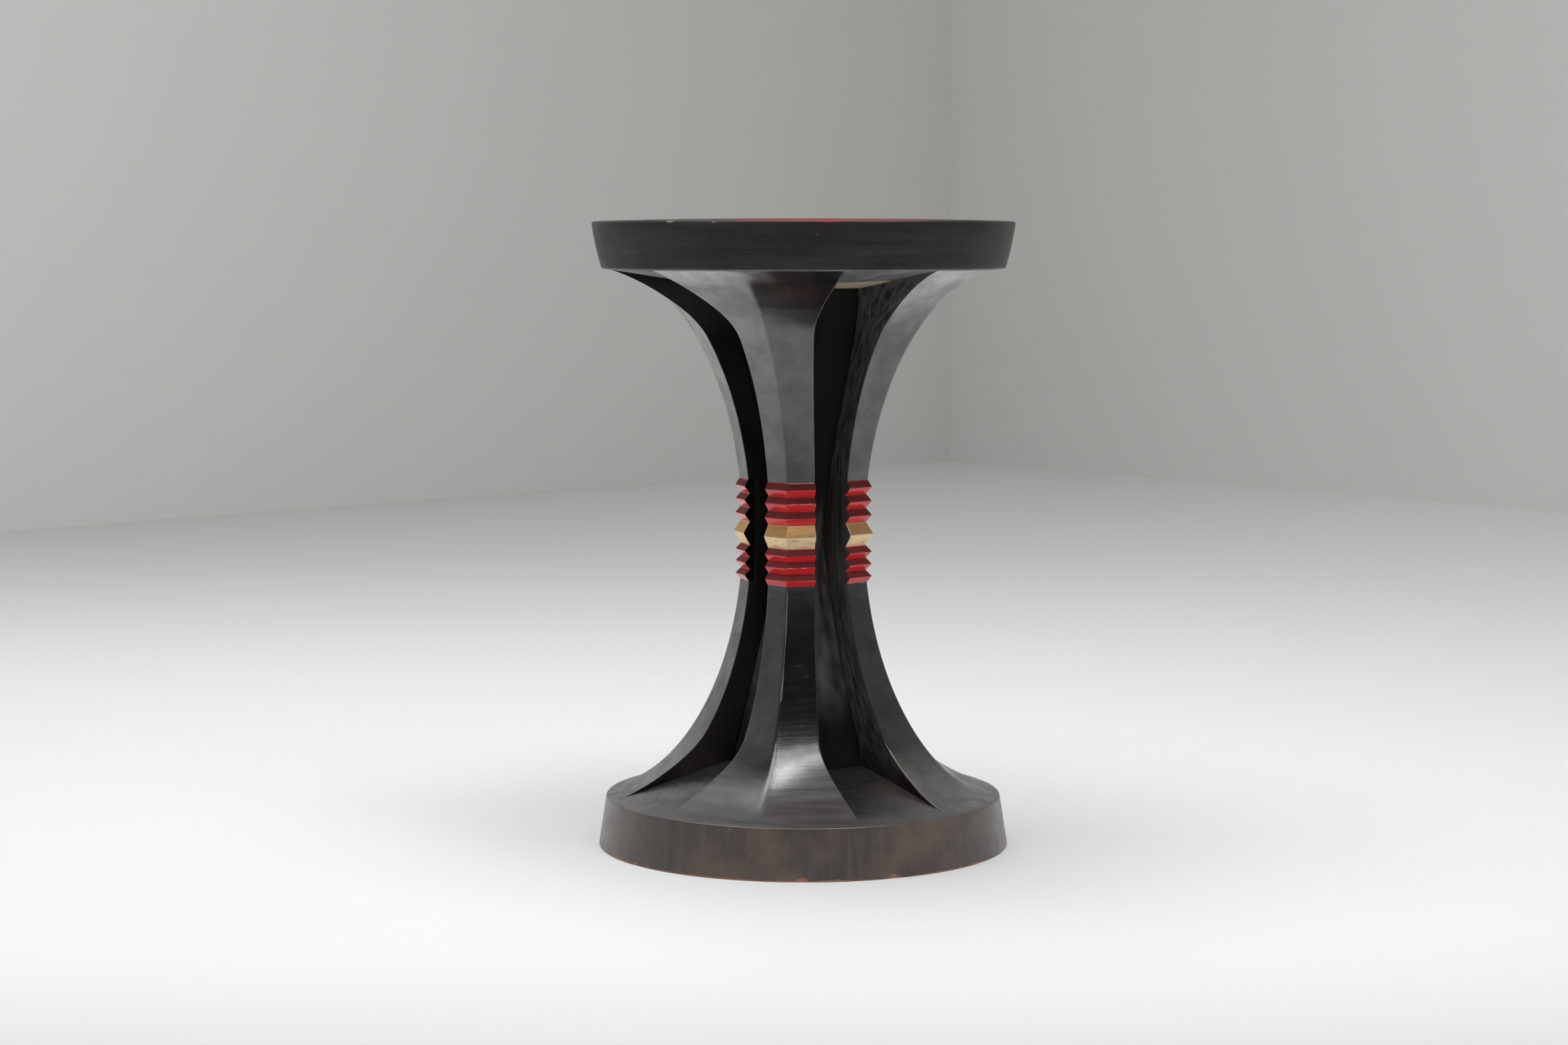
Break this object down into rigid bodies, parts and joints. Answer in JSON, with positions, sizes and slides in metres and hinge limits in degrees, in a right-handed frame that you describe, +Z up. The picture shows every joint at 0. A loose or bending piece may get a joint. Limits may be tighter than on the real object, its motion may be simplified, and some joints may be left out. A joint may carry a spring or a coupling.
{
  "type": "stool",
  "caption": "Round pedestal stool in black-lacquered wood: disc seat with a red field, flared ridged ribs with red and gold zigzag teeth at the waist, disc base.",
  "frame": {"origin": "centre of the base's underside, on the floor", "axes": "+Z up along the stool's axis, -Y towards the front rib, +X towards the right rib"},
  "size_m": [0.3346, 0.3346, 0.5],
  "materials": {
    "black_lacquer": "semi-gloss black lacquer on carved hardwood, brushed and worn at the arrises",
    "red_lacquer": "semi-gloss red lacquer on carved hardwood",
    "gold_leaf": "rubbed gold paint on carved hardwood, chipped at the edges",
    "bare_wood": "bare turned hardwood"
  },
  "bodies": {
    "root": {"seat_disc": "black_lacquer", "seat_panel": "red_lacquer", "base_plinth": "black_lacquer", "core_post": "black_lacquer", "rib_front": "black_lacquer", "rib_right": "black_lacquer", "rib_back": "black_lacquer", "rib_left": "black_lacquer", "upper_red_teeth_front": "red_lacquer", "upper_red_teeth_right": "red_lacquer", "upper_red_teeth_back": "red_lacquer", "upper_red_teeth_left": "red_lacquer", "gold_tooth_front": "gold_leaf", "gold_tooth_right": "gold_leaf", "gold_tooth_back": "gold_leaf", "gold_tooth_left": "gold_leaf", "lower_red_teeth_front": "red_lacquer", "lower_red_teeth_right": "red_lacquer", "lower_red_teeth_back": "red_lacquer", "lower_red_teeth_left": "red_lacquer", "base_dowel_front": "bare_wood", "base_dowel_right": "bare_wood", "base_dowel_back": "bare_wood", "base_dowel_left": "bare_wood", "seat_dowel_front": "bare_wood", "seat_dowel_right": "bare_wood", "seat_dowel_back": "bare_wood", "seat_dowel_left": "bare_wood"}
  },
  "joints": []
}
